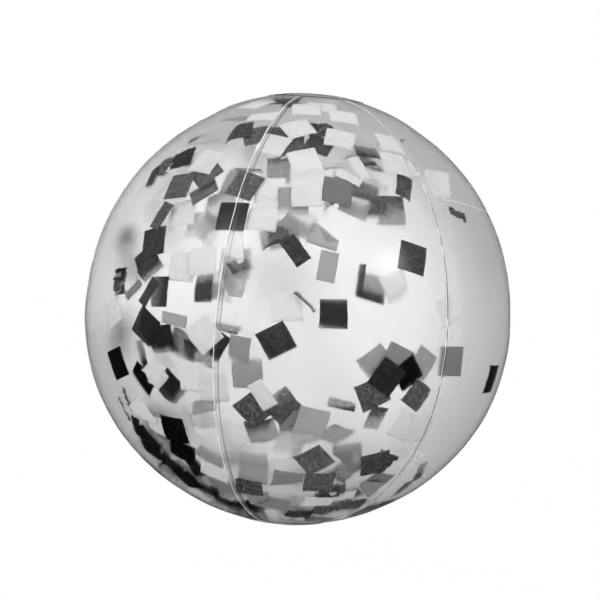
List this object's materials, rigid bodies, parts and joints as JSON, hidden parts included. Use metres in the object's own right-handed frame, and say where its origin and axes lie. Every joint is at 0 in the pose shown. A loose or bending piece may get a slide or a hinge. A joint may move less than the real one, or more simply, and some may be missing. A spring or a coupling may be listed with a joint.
{
  "type": "inflatable beach ball",
  "caption": "Inflatable beach ball of clear welded film with loose black, grey and white tissue confetti inside and a push-in valve at the top disc.",
  "frame": {"origin": "centre of the inflated ball", "axes": "+Z runs along the ball's axis through the two end discs, up through the disc that holds the valve; a weld seam lies in the half plane of +X, and the others follow every 60 degrees about Z"},
  "size_m": [0.388, 0.388, 0.3892],
  "materials": {
    "clear_film": "clear, glossy, slightly hazy soft film",
    "valve_vinyl": "soft translucent moulded vinyl",
    "flap_film": "thin translucent film",
    "tissue_black": "matt tissue paper",
    "tissue_grey": "matt tissue paper",
    "tissue_white": "matt tissue paper"
  },
  "bodies": {
    "shell": {"gore_1": "clear_film", "gore_2": "clear_film", "gore_3": "clear_film", "gore_4": "clear_film", "gore_5": "clear_film", "gore_6": "clear_film", "top_disc": "clear_film", "bottom_disc": "clear_film", "valve_flange": "valve_vinyl", "valve_neck": "valve_vinyl"},
    "stem": {"valve_stem": "valve_vinyl"},
    "plug": {"plug": "valve_vinyl", "plug_strap": "valve_vinyl"},
    "flap": {"non_return_flap": "flap_film"},
    "confetti": {"confetti_black_upper": "tissue_black", "confetti_black_heap": "tissue_black", "confetti_grey_upper": "tissue_grey", "confetti_grey_heap": "tissue_grey", "confetti_white_upper": "tissue_white", "confetti_white_heap": "tissue_white"}
  },
  "joints": [
    {"name": "valve_pop", "type": "slide", "parent": "shell", "child": "stem", "axis": [0.0722, 0, 0.9974], "range_m": [0, 0.018], "deforming": ["valve_neck"]},
    {"name": "plug_flip", "type": "hinge", "parent": "stem", "child": "plug", "pos_m": [0.00636, 0, 0.19325], "axis": [0, -1, 0], "range_deg": [0, 120]},
    {"name": "flap_open", "type": "hinge", "parent": "stem", "child": "flap", "pos_m": [0.00972, 0, 0.18423], "axis": [0, 1, 0], "range_deg": [0, 60], "stiffness_Nm_per_rad": 0.00002},
    {"name": "confetti_swirl", "type": "hinge", "parent": "shell", "child": "confetti", "pos_m": [0, 0, 0], "axis": [0, 0, 1], "continuous": true}
  ]
}
